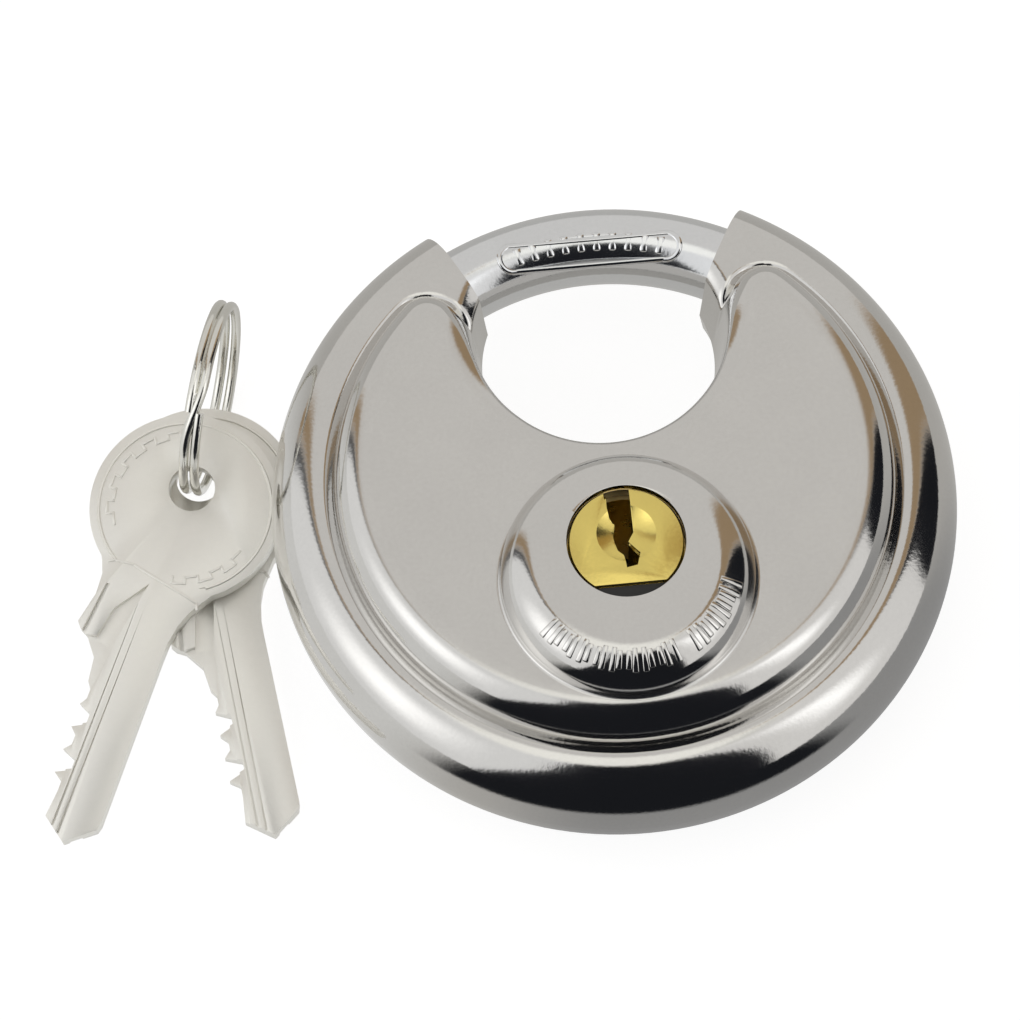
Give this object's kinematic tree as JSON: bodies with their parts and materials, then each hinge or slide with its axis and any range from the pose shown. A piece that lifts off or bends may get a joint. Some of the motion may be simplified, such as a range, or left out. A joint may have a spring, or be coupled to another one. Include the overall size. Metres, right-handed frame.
{
  "type": "disc padlock",
  "caption": "Round disc padlock of polished steel with a curved shackle across a round mouth, a raised keyway boss, with flat keys on a split ring lying beside it.",
  "frame": {"origin": "on the disc's axis, in the plane of the back face", "axes": "+Z out of the front face, +Y from the disc's axis to the middle of the mouth, +X to the right seen from the front"},
  "size_m": [0.0958, 0.068, 0.0277],
  "materials": {
    "polished_steel": "mirror-polished stainless steel with fine handling marks",
    "cast_core": "grey cast steel core, machined on its faces",
    "dark_steel": "hardened steel, ground",
    "brass": "turned brass",
    "pin_brass": "turned brass pins",
    "pin_steel": "ground steel pins and spring wire",
    "key_nickel": "stamped nickel silver, satin, with milled grooves",
    "ring_nickel": "nickel-plated spring steel"
  },
  "bodies": {
    "case": {"front_shell": "polished_steel", "rear_shell": "polished_steel", "core_front": "cast_core", "core_rear": "cast_core", "core_screws": "dark_steel", "cylinder_body": "brass", "guard_plate": "dark_steel", "chamber_cover": "brass", "stop_pins": "dark_steel", "pin_spring_1": "pin_steel", "pin_spring_2": "pin_steel", "pin_spring_3": "pin_steel", "pin_spring_4": "pin_steel", "pin_spring_5": "pin_steel"},
    "plug": {"plug": "brass", "drive_arm": "dark_steel", "tail_clip": "dark_steel"},
    "shackle": {"shackle": "polished_steel"},
    "key_pin_1": {"key_pin_1": "pin_brass"},
    "key_pin_2": {"key_pin_2": "pin_brass"},
    "key_pin_3": {"key_pin_3": "pin_brass"},
    "key_pin_4": {"key_pin_4": "pin_brass"},
    "key_pin_5": {"key_pin_5": "pin_brass"},
    "driver_pin_1": {"driver_pin_1": "pin_steel"},
    "driver_pin_2": {"driver_pin_2": "pin_steel"},
    "driver_pin_3": {"driver_pin_3": "pin_steel"},
    "driver_pin_4": {"driver_pin_4": "pin_steel"},
    "driver_pin_5": {"driver_pin_5": "pin_steel"},
    "key_ring": {"split_ring": "ring_nickel"},
    "key_1": {"key_1": "key_nickel"},
    "key_2": {"key_2": "key_nickel"}
  },
  "joints": [
    {"name": "plug_turn", "type": "hinge", "parent": "case", "child": "plug", "pos_m": [0, -0.0104, 0], "axis": [0, 0, -1], "range_deg": [0, 106]},
    {"name": "shackle_turn", "type": "hinge", "parent": "case", "child": "shackle", "pos_m": [0, 0, 0], "axis": [0, 0, -1], "range_deg": [0, 67.4]},
    {"name": "driver_pin_1_slide", "type": "slide", "parent": "case", "child": "driver_pin_1", "axis": [0, -1, 0], "range_m": [0, 0.0024], "deforming": ["pin_spring_1"]},
    {"name": "driver_pin_2_slide", "type": "slide", "parent": "case", "child": "driver_pin_2", "axis": [0, -1, 0], "range_m": [0, 0.0024], "deforming": ["pin_spring_2"]},
    {"name": "driver_pin_3_slide", "type": "slide", "parent": "case", "child": "driver_pin_3", "axis": [0, -1, 0], "range_m": [0, 0.0024], "deforming": ["pin_spring_3"]},
    {"name": "driver_pin_4_slide", "type": "slide", "parent": "case", "child": "driver_pin_4", "axis": [0, -1, 0], "range_m": [0, 0.0024], "deforming": ["pin_spring_4"]},
    {"name": "driver_pin_5_slide", "type": "slide", "parent": "case", "child": "driver_pin_5", "axis": [0, -1, 0], "range_m": [0, 0.0024], "deforming": ["pin_spring_5"]},
    {"name": "key_pin_1_slide", "type": "slide", "parent": "plug", "child": "key_pin_1", "axis": [0, 1, 0], "range_m": [0, 0.0014]},
    {"name": "key_pin_2_slide", "type": "slide", "parent": "plug", "child": "key_pin_2", "axis": [0, 1, 0], "range_m": [0, 0.0014]},
    {"name": "key_pin_3_slide", "type": "slide", "parent": "plug", "child": "key_pin_3", "axis": [0, 1, 0], "range_m": [0, 0.0014]},
    {"name": "key_pin_4_slide", "type": "slide", "parent": "plug", "child": "key_pin_4", "axis": [0, 1, 0], "range_m": [0, 0.0014]},
    {"name": "key_pin_5_slide", "type": "slide", "parent": "plug", "child": "key_pin_5", "axis": [0, 1, 0], "range_m": [0, 0.0014]},
    {"name": "key_ring_slide", "type": "slide", "parent": "case", "child": "key_ring", "axis": [-1, 0, 0], "range_m": [0, 0.03]},
    {"name": "key_1_swing", "type": "hinge", "parent": "key_ring", "child": "key_1", "pos_m": [-0.04282, 0.00819, 0.0056], "axis": [0, 0, 1], "range_deg": [-30, 0]},
    {"name": "key_2_swing", "type": "hinge", "parent": "key_ring", "child": "key_2", "pos_m": [-0.04216, 0.01035, 0.0023], "axis": [0, 0, 1], "range_deg": [0, 20]}
  ],
  "couplings": [
    {"joint": "shackle_turn", "follows": "plug_turn", "ratio": 0.6351},
    {"joint": "driver_pin_2_slide", "follows": "driver_pin_1_slide", "ratio": 1},
    {"joint": "driver_pin_3_slide", "follows": "driver_pin_1_slide", "ratio": 1},
    {"joint": "driver_pin_4_slide", "follows": "driver_pin_1_slide", "ratio": 1},
    {"joint": "driver_pin_5_slide", "follows": "driver_pin_1_slide", "ratio": 1},
    {"joint": "key_pin_2_slide", "follows": "key_pin_1_slide", "ratio": 1},
    {"joint": "key_pin_3_slide", "follows": "key_pin_1_slide", "ratio": 1},
    {"joint": "key_pin_4_slide", "follows": "key_pin_1_slide", "ratio": 1},
    {"joint": "key_pin_5_slide", "follows": "key_pin_1_slide", "ratio": 1}
  ]
}
